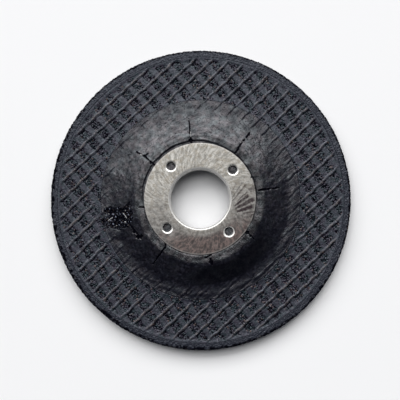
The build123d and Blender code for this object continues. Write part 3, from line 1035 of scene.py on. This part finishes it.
# Round gaps where the cloth has pulled open: each is its middle and its radius
SLIT_BLOTS = (
    ((-3.4, 21.9), 0.62),
    ((14.5, 19.2), 0.42),
    ((16.5, 22.2), 0.40),
    ((17.7, -12.7), 0.6),
    ((4.3, -23.8), 0.6),
    ((-18.3, 13.5), 0.42),
    ((-15.4, -21.2), 0.45),
    ((-23.7, -14.6), 0.7),
    ((-21.9, -14.2), 0.55),
    ((-24.9, -12.6), 0.45),
)

# The torn place: its ragged outline, point by point
TEAR_OUTLINE = (
    (-37.0, -4.4),
    (-32.3, -3.6),
    (-29.4, -3.7),
    (-26.8, -1.1),
    (-26.2, -3.9),
    (-24.9, -6.1),
    (-26.6, -9.6),
    (-29.2, -10.9),
    (-33.8, -11.2),
    (-37.3, -8.4),
    (-36.0, -6.4),
)
TEAR_MIDDLE = (-31.2, -6.9)

# A crease that runs on from the torn place
CREASE = ((-26.9, -9.6), (-24.6, -12.2), (-22.3, -15.0))
CREASE_WIDTH = 0.55


def path_distance(points, stops):
    """Distance from a path of straight runs through the stops."""
    nearest = np.full(points.shape[:-1], 1e3)
    for start, end in zip(stops, stops[1:]):
        start, end = np.array(start), np.array(end)
        along = end - start
        share = np.clip((points[..., :2] - start) @ along / (along @ along), 0, 1)
        foot = start + share[..., None] * along
        nearest = np.minimum(nearest, np.linalg.norm(points[..., :2] - foot, axis=-1))
    return nearest


def tear_reach(angle):
    """How far the torn place reaches from its middle at an angle in radians, by straight runs
    of reach over angle between the outline's points."""
    offset = np.array(TEAR_OUTLINE) - TEAR_MIDDLE
    turn = np.arctan2(offset[:, 1], offset[:, 0]) % (2 * math.pi)
    order = np.argsort(turn)
    reach = np.hypot(*offset[order].T)
    return np.interp(angle % (2 * math.pi), turn[order], reach, period=2 * math.pi)


def inside_tear(points):
    """How far each point lies inside the torn place's border, in millimetres and negative
    outside it: the reach less the distance from the middle, made ragged by noise."""
    offset = points[..., :2] - TEAR_MIDDLE
    angle = np.arctan2(offset[..., 1], offset[..., 0])
    inside = tear_reach(angle) - np.hypot(offset[..., 0], offset[..., 1])
    return inside + 0.8 * smooth_noise(points, 1.3, 51) + 0.4 * smooth_noise(points, 0.6, 52)


def slit_depth(points):
    """1 in a slit or a round gap and 0 outside, by smooth steps across their sides. A slit's
    width swells and shrinks by noise and narrows towards its end, so that the thin end breaks
    into beads."""
    deepest = np.zeros(points.shape[:-1])
    swell = 0.95 + 0.8 * smooth_noise(points, 0.9, 71)
    shift = 0.10 * smooth_noise(points, 0.6, 72)
    for path, width in SLITS:
        distance = path_distance(points, path)
        start = np.linalg.norm(points[..., :2] - path[0], axis=-1)
        end = np.linalg.norm(points[..., :2] - path[-1], axis=-1)
        narrowing = 0.45 + 0.55 * smooth_step(end / (start + end), 0.0, 0.6)
        half = width / 2 * swell * narrowing
        slit = smooth_step(distance + shift, half + 0.12, half * 0.7)
        deepest = np.maximum(deepest, slit * (half > 0.06))
    for place, reach in SLIT_BLOTS:
        distance = np.linalg.norm(points[..., :2] - place, axis=-1) + 3 * shift
        deepest = np.maximum(deepest, smooth_step(distance, reach + 0.15, reach - 0.15))
    return deepest


def cloth_lift(points, radius):
    """How high the whole cloth stands over the wheel. It has its full thickness, tapers to its
    edge, and is pressed thin inside the ring's seat. A lip stands round the seat, highest on the
    open side. The mesh under it shows through its rim, as 0.15 cord + 0.08 band - 0.09 groove,
    and noise of two sizes makes it uneven."""
    ragged_radius = radius + 0.5 * smooth_noise(points, 2.5, 81)
    taper = smooth_step(ragged_radius, PATCH_RADIUS - PATCH_EDGE_TAPER, PATCH_RADIUS - 0.3)
    full = PATCH_THICKNESS - (PATCH_THICKNESS - PATCH_EDGE_THICKNESS) * taper
    opened = smooth_step(facing(points, OPEN_SEAT_ANGLE), 0.35, 0.95)
    gap = SEAT_GAP + (OPEN_SEAT_GAP - SEAT_GAP) * opened
    seat = RING_RADIUS + gap + 0.15 * smooth_noise(points, 1.8, 82)
    beyond = smooth_step(radius, seat - 0.1, seat + 0.35)
    lift = PATCH_PRESSED_THICKNESS + (full - PATCH_PRESSED_THICKNESS) * beyond
    lip = beyond * smooth_step(radius, seat + SEAT_LIP_WIDTH, seat + 0.3)
    lip = lip * (0.2 + 0.8 * opened) * (1 + 0.6 * smooth_noise(points, 2.4, 83))
    lift = lift + SEAT_LIP_RISE * lip
    cord, band, groove = mesh_relief(points)
    showing = smooth_step(radius + 2 * smooth_noise(points, 3.5, 84), 31.5, PATCH_RADIUS + 0.8)
    lift = lift + showing * (0.15 * cord + 0.08 * band - 0.09 * groove)
    lift = lift + 0.06 * smooth_noise(points, 1.3, 91) * beyond * (1 - 0.7 * showing)
    lift = lift + 0.13 * smooth_noise(points, 4.0, 92) * beyond
    return np.maximum(lift, 0.012)


def dull_and_shade_share(points, radius):
    """How dull the cloth is, from 0 to 1: over the hub's flat, most on one side of it, and on
    one side of the slope, by smooth steps over radius and over the side faced. On the slope, which is
    turned from the light, the mark also carries painted shade."""
    flat = smooth_step(radius, HUB_FLAT_RADIUS + 1.5, HUB_FLAT_RADIUS - 1.0)
    flat_side = smooth_step(facing(points, DULL_FLAT_ANGLE), 0.5, 0.97)
    flat = flat * (DULL_FLAT_SHARE + (1 - DULL_FLAT_SHARE) * flat_side)
    slope = smooth_step(radius, *DULL_SHADED_SLOPE_INNER_EDGE)
    slope = slope * smooth_step(radius, *DULL_SHADED_SLOPE_OUTER_EDGE)
    shaded_slope_side = smooth_step(facing(points, DULL_SHADED_SLOPE_ANGLE), 0.6, 0.95)
    return np.maximum(flat, DULL_SHADED_SLOPE_SHARE * slope * shaded_slope_side)


def patch_cloth():
    """The cloth patch: a skin that lies on the wheel and is cloth_lift high over it. Slits, the
    torn place and the crease cut it down to almost nothing, and pockets for the ring's claws
    dip into the hub."""
    inner = COLLAR_RADIUS + BORE_LIP_RADIUS - RING_SHEET + PATCH_BORE_CLEARANCE
    claw_low = CLAW_CIRCLE_RADIUS - CLAW_BAND
    claw_high = CLAW_CIRCLE_RADIUS + CLAW_BAND
    under_radius = np.concatenate(
        [
            [inner],
            np.linspace(claw_low, claw_high, 8),
            np.linspace(RING_RADIUS, PATCH_RADIUS, 8),
        ]
    )
    top_radius = np.concatenate(
        [
            np.linspace(PATCH_RADIUS, RING_RADIUS - 0.3, 66),
            np.linspace(claw_high, claw_low, 8),
            [inner],
        ]
    )
    pocket_depth = CLAW_BITE + CLAW_CLEARANCE
    under = turned(under_radius, hub_surface(under_radius), PATCH_COLUMNS)
    under[..., 2] += 0.004 - claw_dip(under) * (pocket_depth - 0.01)

    points = turned(top_radius, np.zeros(len(top_radius)), PATCH_COLUMNS)
    radius = np.hypot(points[..., 0], points[..., 1])
    lift = cloth_lift(points, radius)
    slit = slit_depth(points)
    torn = smooth_step(inside_tear(points), 0.0, 0.25)
    from_crease = path_distance(points, CREASE) + 0.12 * smooth_noise(points, 0.7, 95)
    crease = smooth_step(from_crease, CREASE_WIDTH, 0.1)
    # The sunk places are also painted black in the cloth's finish, as painted shade in these recesses
    sunk = np.maximum(np.maximum(slit, torn), 0.8 * crease)
    lift = lift * (1 - sunk) + 0.03 * sunk
    dip = claw_dip(points)
    lift = lift * (1 - dip) + POCKET_THICKNESS * dip + dip * 0.06 * smooth_noise(points, 0.5, 97)
    points[..., 2] = hub_surface(radius) + lift - dip * pocket_depth

    rim_radius = radius + 1.2 * smooth_noise(points, 3.0, 98)
    everything = np.concatenate([under, points])
    padding = np.zeros((len(under_radius), PATCH_COLUMNS))
    piece(
        "patch_cloth",
        everything,
        closed_faces(len(everything), PATCH_COLUMNS),
        patch_finish(),
        ["hub_patch"],
        {
            "sunk": np.concatenate([padding, np.maximum(sunk, 0.16 * dip)]),
            "rim": np.concatenate([padding, smooth_step(rim_radius, 29.5, 36.5)]),
            "dull": np.concatenate([padding, dull_and_shade_share(points, radius)]),
        },
    )


TORN_ROWS = 110
TORN_COLUMNS = 400
TORN_GRAIN_SIZE = 0.54
TORN_GRAIN_HEIGHT = 0.42


def torn_grain():
    """The bare grain in the torn place, on rings that run from its ragged outline in to its
    middle: coarse faceted grains, 0.25 + 0.75 height + 1.1 facet - 0.6 gap, held to 0..1.3,
    that sink to a skirt at the outline, over an underside just above the wheel."""
    angle = np.linspace(0, 2 * math.pi, TORN_COLUMNS, endpoint=False)
    share = np.linspace(1.0, 0.01, TORN_ROWS)[:, None]
    reach = share * (tear_reach(angle) + 0.8)
    across = TEAR_MIDDLE[0] + reach * np.cos(angle)
    up = TEAR_MIDDLE[1] + reach * np.sin(angle)
    points = np.stack([across, up, 0 * reach], axis=-1)
    base = hub_surface(np.hypot(across, up))
    rise, facet, gap = grains(points, TORN_GRAIN_SIZE, 200)
    grain = np.clip(0.25 + 0.75 * rise + 1.1 * facet - 0.6 * gap, 0, 1.3)
    edge = smooth_step(share, 1.0, 0.86)
    inside = smooth_step(inside_tear(points), 0.0, 0.5)
    height = 0.01 + (0.03 + TORN_GRAIN_HEIGHT * grain) * inside
    points[..., 2] = base + 0.01 + edge * height
    under = points[[-1, 0]].copy()
    under[..., 2] = base[[-1, 0]] + 0.008
    everything = np.concatenate([under, points])
    piece(
        "torn_grain",
        everything,
        closed_faces(len(everything), TORN_COLUMNS),
        grain_finish("bare_grain", 0.34, 0.66, 0.03, (0.28, 0.31, 0.40)),
    )


# Pale fibre ends: each is a short path and its half thickness
FIBRES = (
    ((-35.4, -8.2), (-34.4, -7.6), (-33.4, -6.9), 0.17),
    ((-29.4, -5.2), (-28.6, -6.2), (-27.7, -7.5), 0.14),
    ((-35.2, -5.5), (-35.0, -5.7), (-34.8, -5.8), 0.22),
    ((-28.6, -8.5), (-28.5, -8.7), (-28.3, -8.9), 0.26),
    ((-32.1, -10.0), (-32.0, -10.1), (-31.8, -10.2), 0.22),
    ((-28.5, -4.1), (-28.4, -4.4), (-28.3, -4.6), 0.16),
    ((-22.9, 17.2), (-22.2, 16.7), (-21.5, 16.9), 0.16),
    ((-3.45, 25.6), (-3.5, 24.4), (-3.4, 23.2), 0.15),
)
FIBRE_SIDES = 8
FIBRE_STEPS = 10
FIBRE_LIFT = 0.42


def fibre_points(first, middle, last, half):
    """Rings of points along one fibre: its path is the quadratic curve through three points, and
    its half thickness is thinned to the ends by sqrt(1 - x^4), with x from -1 to 1 along it."""
    share = np.linspace(0, 1, FIBRE_STEPS)[:, None]
    handle = 2 * middle - (first + last) / 2
    line = (1 - share) ** 2 * first + 2 * share * (1 - share) * handle + share**2 * last
    along = np.gradient(line, axis=0)
    side = np.stack([-along[:, 1], along[:, 0]], axis=-1) / np.linalg.norm(along, axis=1)[:, None]
    thickness = half * np.sqrt(np.clip(1 - (2 * share - 1) ** 4, 0.02, 1))
    turn = np.linspace(0, 2 * math.pi, FIBRE_SIDES, endpoint=False)
    flat = line[:, None, :] + (thickness * np.cos(turn))[..., None] * side[:, None, :]
    base = hub_surface(np.hypot(line[:, 0], line[:, 1]))[:, None]
    height = base + FIBRE_LIFT + thickness * np.sin(turn)
    return np.concatenate([flat, height[..., None]], axis=-1)


def torn_fibres():
    """Short ends of glass fibre that stand out of the torn cloth: round sections carried along
    their paths, closed by a fan of triangles at each end."""
    all_points = []
    all_faces = []
    ring = np.arange(FIBRE_SIDES)
    after = np.roll(ring, -1)
    for number, (*stops, half) in enumerate(FIBRES):
        tube = fibre_points(*(np.array(stop) for stop in stops), half)
        ends = np.stack([tube[0].mean(axis=0), tube[-1].mean(axis=0)])
        start = number * (FIBRE_SIDES * FIBRE_STEPS + 2)
        near_middle = start + FIBRE_SIDES * FIBRE_STEPS
        far_middle = near_middle + 1
        far_ring = near_middle - FIBRE_SIDES
        quads = open_faces(FIBRE_STEPS, FIBRE_SIDES) + start
        near = np.stack([0 * ring + near_middle, start + after, start + ring], axis=-1)
        far = np.stack([0 * ring + far_middle, far_ring + ring, far_ring + after], axis=-1)
        all_points += [tube.reshape(-1, 3), ends]
        all_faces += quads.tolist() + near.tolist() + far.tolist()
    points = np.concatenate(all_points)
    made = piece("torn_fibres", points, all_faces, fibre_finish())
    face_outwards(made, 0)


# The steel ring

RING_ARC_STEPS = 144
RING_SIDE_STEPS = 24
RING_INNER_STEPS = 8
# The rows from a hole to its quarter's border lie closer together near the hole
RING_ROW_CROWDING = 1.6
RING_MERGE_DISTANCE = 0.002
RING_SHARP_ANGLE = 50
# The holes' mouths are polished and painted bright as a highlight, wider on their lower side, which faces
# the light
MOUTH_HIGHLIGHT_SHIFT = (0.03, -0.16)


def arc(middle_radius, middle_height, reach, first, last, count):
    """Points of an arc in a section: its middle, its radius, its first and last angle in
    degrees and how many points it has."""
    turn = np.radians(np.linspace(first, last, count))
    return np.stack([middle_radius + reach * np.cos(turn), middle_height + reach * np.sin(turn)], axis=-1)


def quarter_border(inner, outer):
    """The border of a quarter of the flat ring about +X, as angles and radii in order: out along
    one side, round the outer arc, in along the other side and back round the inner arc."""
    turn = math.pi / 4
    side = np.linspace(inner, outer, RING_SIDE_STEPS, endpoint=False)
    sweep = np.linspace(-turn, turn, RING_ARC_STEPS, endpoint=False)
    back = np.linspace(outer, inner, RING_SIDE_STEPS, endpoint=False)
    first_side = np.full(RING_SIDE_STEPS, -turn)
    last_side = np.full(RING_SIDE_STEPS, turn)
    outer_arc = np.full(RING_ARC_STEPS, outer)
    inner_arc = np.full(RING_ARC_STEPS, inner)
    angle = np.concatenate([first_side, sweep, last_side, -sweep])
    radius = np.concatenate([side, outer_arc, back, inner_arc])
    return angle, radius


def hole_circle(angle, radius, hole_radius):
    """Points of the pierced hole's circle that lie in the directions of the border's points, as
    seen from the hole's middle in the plane of angle and radius."""
    direction = np.arctan2(radius - CLAW_CIRCLE_RADIUS, angle * CLAW_CIRCLE_RADIUS)
    return CLAW_CIRCLE_RADIUS + hole_radius * np.sin(direction), hole_radius * np.cos(direction)


def pierced_quarter(inner, outer, hole_radius, height, number):
    """A quarter of a flat ring with its hole: rows that change in angle and radius from the
    hole's circle to the border and crowd near the hole, then turned to its place round the
    axis."""
    angle, radius = quarter_border(inner, outer)
    hole_x, hole_y = hole_circle(angle, radius, hole_radius)
    hole_angle = np.arctan2(hole_y, hole_x)
    hole_reach = np.hypot(hole_x, hole_y)
    share = (np.linspace(0, 1, RING_INNER_STEPS + 1) ** RING_ROW_CROWDING)[:, None]
    turn = hole_angle + share * (angle - hole_angle)
    reach = hole_reach + share * (radius - hole_reach)
    turn = turn + math.radians(claw_angle(number))
    return np.stack([reach * np.cos(turn), reach * np.sin(turn), np.full_like(reach, height)], axis=-1)


def claw_tube(inner, outer, number):
    """One claw: its rounded mouth, inner wall, tip and outer wall, round the hole's middle, on
    the same directions as the pierced quarter's hole."""
    angle, radius = quarter_border(inner, outer)
    mouth_radius = CLAW_INNER_RADIUS + CLAW_MOUTH_RADIUS
    mouth = arc(mouth_radius, RING_TOP - CLAW_MOUTH_RADIUS, CLAW_MOUTH_RADIUS, 90, 180, 5)
    outer_wall = CLAW_INNER_RADIUS + CLAW_WALL
    tip = HUB_TOP - CLAW_BITE
    rows = [
        *mouth,
        (CLAW_INNER_RADIUS, tip + 0.5),
        (CLAW_INNER_RADIUS, tip),
        (outer_wall, tip),
        (outer_wall, RING_UNDERSIDE),
    ]
    cosine, sine = polar(claw_angle(number), 1.0)
    sheets = []
    for hole_radius, height in rows:
        x, y = hole_circle(angle, radius, hole_radius)
        sheets.append(np.stack([x * cosine - y * sine, x * sine + y * cosine, 0 * x + height], axis=-1))
    return np.stack(sheets)


def ring_sheets(inner, outer):
    """The ring's open sheets, which meet at their borders: the bore's lip and collar, the outer
    edge, and for each quarter its top, its underside and its claw."""
    under_lip = BORE_LIP_RADIUS - RING_SHEET
    lip_start = RING_TOP - BORE_LIP_RADIUS
    collar = np.concatenate(
        [
            arc(inner, lip_start, BORE_LIP_RADIUS, 90, 180, 9),
            np.linspace((BORE_RADIUS, lip_start), (BORE_RADIUS, COLLAR_END), 7)[1:],
            [(COLLAR_RADIUS, COLLAR_END)],
            arc(inner, RING_UNDERSIDE - under_lip, under_lip, 180, 90, 5),
        ]
    )
    edge = np.concatenate(
        [
            arc(outer, RING_TOP - RING_EDGE_RADIUS, RING_EDGE_RADIUS, 90, 0, 5),
            [(RING_RADIUS, RING_UNDERSIDE), (outer, RING_UNDERSIDE)],
        ]
    )
    first_angle = claw_angle(0) - 180 / CLAW_COUNT
    around = 4 * RING_ARC_STEPS
    sheets = [
        turned(collar[:, 0], collar[:, 1], around, first_angle),
        turned(edge[:, 0], edge[:, 1], around, first_angle),
    ]
    mouth = CLAW_INNER_RADIUS + CLAW_MOUTH_RADIUS
    outer_wall = CLAW_INNER_RADIUS + CLAW_WALL
    for number in range(CLAW_COUNT):
        sheets.append(pierced_quarter(inner, outer, mouth, RING_TOP, number))
        sheets.append(pierced_quarter(inner, outer, outer_wall, RING_UNDERSIDE, number))
        sheets.append(claw_tube(inner, outer, number))
    return sheets


def steel_ring():
    """The pressed ring: its sheets merged into one closed skin, with a nick in its outer edge
    whose depth is exp(-(distance / half width)^2). A mark shows where it is polished and painted bright
    as a highlight."""
    inner = BORE_RADIUS + BORE_LIP_RADIUS
    outer = RING_RADIUS - RING_EDGE_RADIUS
    sheets = ring_sheets(inner, outer)
    all_faces = []
    start = 0
    for sheet in sheets:
        all_faces.append(open_faces(*sheet.shape[:2]) + start)
        start += sheet.shape[0] * sheet.shape[1]
    points = np.concatenate([sheet.reshape(-1, 3) for sheet in sheets])
    radius = np.hypot(points[:, 0], points[:, 1])
    angle = np.degrees(np.arctan2(points[:, 1], points[:, 0]))
    away = np.radians(angle - NICK_ANGLE) * RING_RADIUS
    nick = NICK_DEPTH * np.exp(-((away / NICK_HALF_WIDTH) ** 2)) * smooth_step(radius, outer - 1.2, outer)
    points[:, :2] *= (1 - nick / radius)[:, None]

    # The mouths' painted highlight is shifted to their lower side, which faces the light
    highlight_places = [place + np.array(MOUTH_HIGHLIGHT_SHIFT) for place in claw_places()]
    from_hole = np.min([np.hypot(*(points[:, :2] - place).T) for place in highlight_places], axis=0)
    mouth = CLAW_INNER_RADIUS + CLAW_MOUTH_RADIUS
    upper = smooth_step(points[:, 2], RING_TOP - 0.9, RING_TOP - 0.5)
    mouth_highlight = smooth_step(from_hole, mouth + 0.02, mouth - 0.1)
    lip_highlight = smooth_step(radius, inner - 0.1, inner - 0.4)
    made = piece(
        "steel_ring",
        points,
        np.concatenate(all_faces),
        ring_finish(),
        ["hub_ring"],
        {"polished": upper * np.maximum(mouth_highlight, lip_highlight)},
    )
    face_outwards(made, RING_MERGE_DISTANCE)
    made.data.shade_smooth()
    made.data.set_sharp_from_angle(angle=math.radians(RING_SHARP_ANGLE))


# The stage

FLOOR_REACH = 12.0
CAMERA_HEIGHT = 0.310
CAMERA_TILT = 2.9
CAMERA_WAY = -64.5
CAMERA_LENS = 72.8
CAMERA_SENSOR = 36.0
IMAGE_SIZE = 400
DISC_PIXEL = (200.2, 199.25)
# The two soft lights: name, way, elevation, width, height and power
LIGHT_DISTANCE = 5.0
LIGHTS = (
    ("key", 98.0, 45.0, 9.0, 2.7, 294.0),
    ("overhead", 103.0, 70.0, 4.4, 2.7, 142.0),
)
ROOM_STRENGTH = 0.026
ROOM_COLOUR = (0.55, 0.70, 1.0)


def direction(way, elevation):
    """The unit vector at an angle from +X and an elevation above the floor."""
    way = math.radians(way)
    elevation = math.radians(elevation)
    flat = math.cos(elevation)
    return Vector((flat * math.cos(way), flat * math.sin(way), math.sin(elevation)))


def aim(made, eye, target, up):
    """Puts an object at the eye, looking along its -Z to the target with its +Y towards up."""
    back = (eye - target).normalized()
    right = up.cross(back).normalized()
    rotation = Matrix((right, back.cross(right), back)).transposed().to_4x4()
    made.matrix_world = Matrix.Translation(eye) @ rotation


def floor():
    """A plain white board under the disc."""
    mesh = bpy.data.meshes.new("floor")
    signs = ((-1, -1), (1, -1), (1, 1), (-1, 1))
    corners = [(x * FLOOR_REACH, y * FLOOR_REACH, 0) for x, y in signs]
    mesh.from_pydata(corners, [], [(0, 1, 2, 3)])
    mesh.materials.append(floor_finish())
    board = bpy.data.objects.new("floor", mesh)
    bpy.context.scene.collection.objects.link(board)


def camera():
    """The camera nearly straight above the disc, a little to its lower right."""
    lens = bpy.data.cameras.new("camera")
    lens.lens = CAMERA_LENS
    lens.sensor_width = CAMERA_SENSOR
    lens.clip_start = 0.01
    lens.shift_x = (IMAGE_SIZE / 2 - DISC_PIXEL[0]) / IMAGE_SIZE
    lens.shift_y = (DISC_PIXEL[1] - IMAGE_SIZE / 2) / IMAGE_SIZE
    made = bpy.data.objects.new("camera", lens)
    bpy.context.scene.collection.objects.link(made)
    target = Vector((0, 0, RIM_THICKNESS * MM))
    eye = target + CAMERA_HEIGHT * direction(CAMERA_WAY, 90 - CAMERA_TILT)
    aim(made, eye, target, Vector((0, 1, 0)))
    bpy.context.scene.camera = made


def lights():
    """Large soft lights from behind the disc, low and high, and a weak bluish room that the
    camera sees as white."""
    for name, way, elevation, width, height, power in LIGHTS:
        lamp = bpy.data.lights.new(name, "AREA")
        lamp.shape = "RECTANGLE"
        lamp.size = width
        lamp.size_y = height
        lamp.energy = power
        made = bpy.data.objects.new(name, lamp)
        bpy.context.scene.collection.objects.link(made)
        aim(made, LIGHT_DISTANCE * direction(way, elevation), Vector((0, 0, 0)), Vector((0, 0, 1)))

    world = bpy.data.worlds.new("room")
    bpy.context.scene.world = world
    world.use_nodes = True
    tree = world.node_tree
    background = tree.nodes["Background"]
    rays = tree.nodes.new("ShaderNodeLightPath")
    colour = tree.nodes.new("ShaderNodeMix")
    colour.data_type = "RGBA"
    colour.inputs[MIX_FIRST].default_value = (*ROOM_COLOUR, 1)
    colour.inputs[MIX_SECOND].default_value = (1, 1, 1, 1)
    tree.links.new(rays.outputs["Is Camera Ray"], colour.inputs["Factor"])
    tree.links.new(colour.outputs[MIX_COLOUR], background.inputs["Color"])
    strength = tree.nodes.new("ShaderNodeMapRange")
    strength.inputs["To Min"].default_value = ROOM_STRENGTH
    strength.inputs["To Max"].default_value = 1.0
    tree.links.new(rays.outputs["Is Camera Ray"], strength.inputs["Value"])
    tree.links.new(strength.outputs["Result"], background.inputs["Strength"])


wheel_grain()
mesh_cloth()
patch_cloth()
torn_grain()
torn_fibres()
steel_ring()
floor()
camera()
lights()
bpy.context.scene.view_settings.view_transform = "Standard"
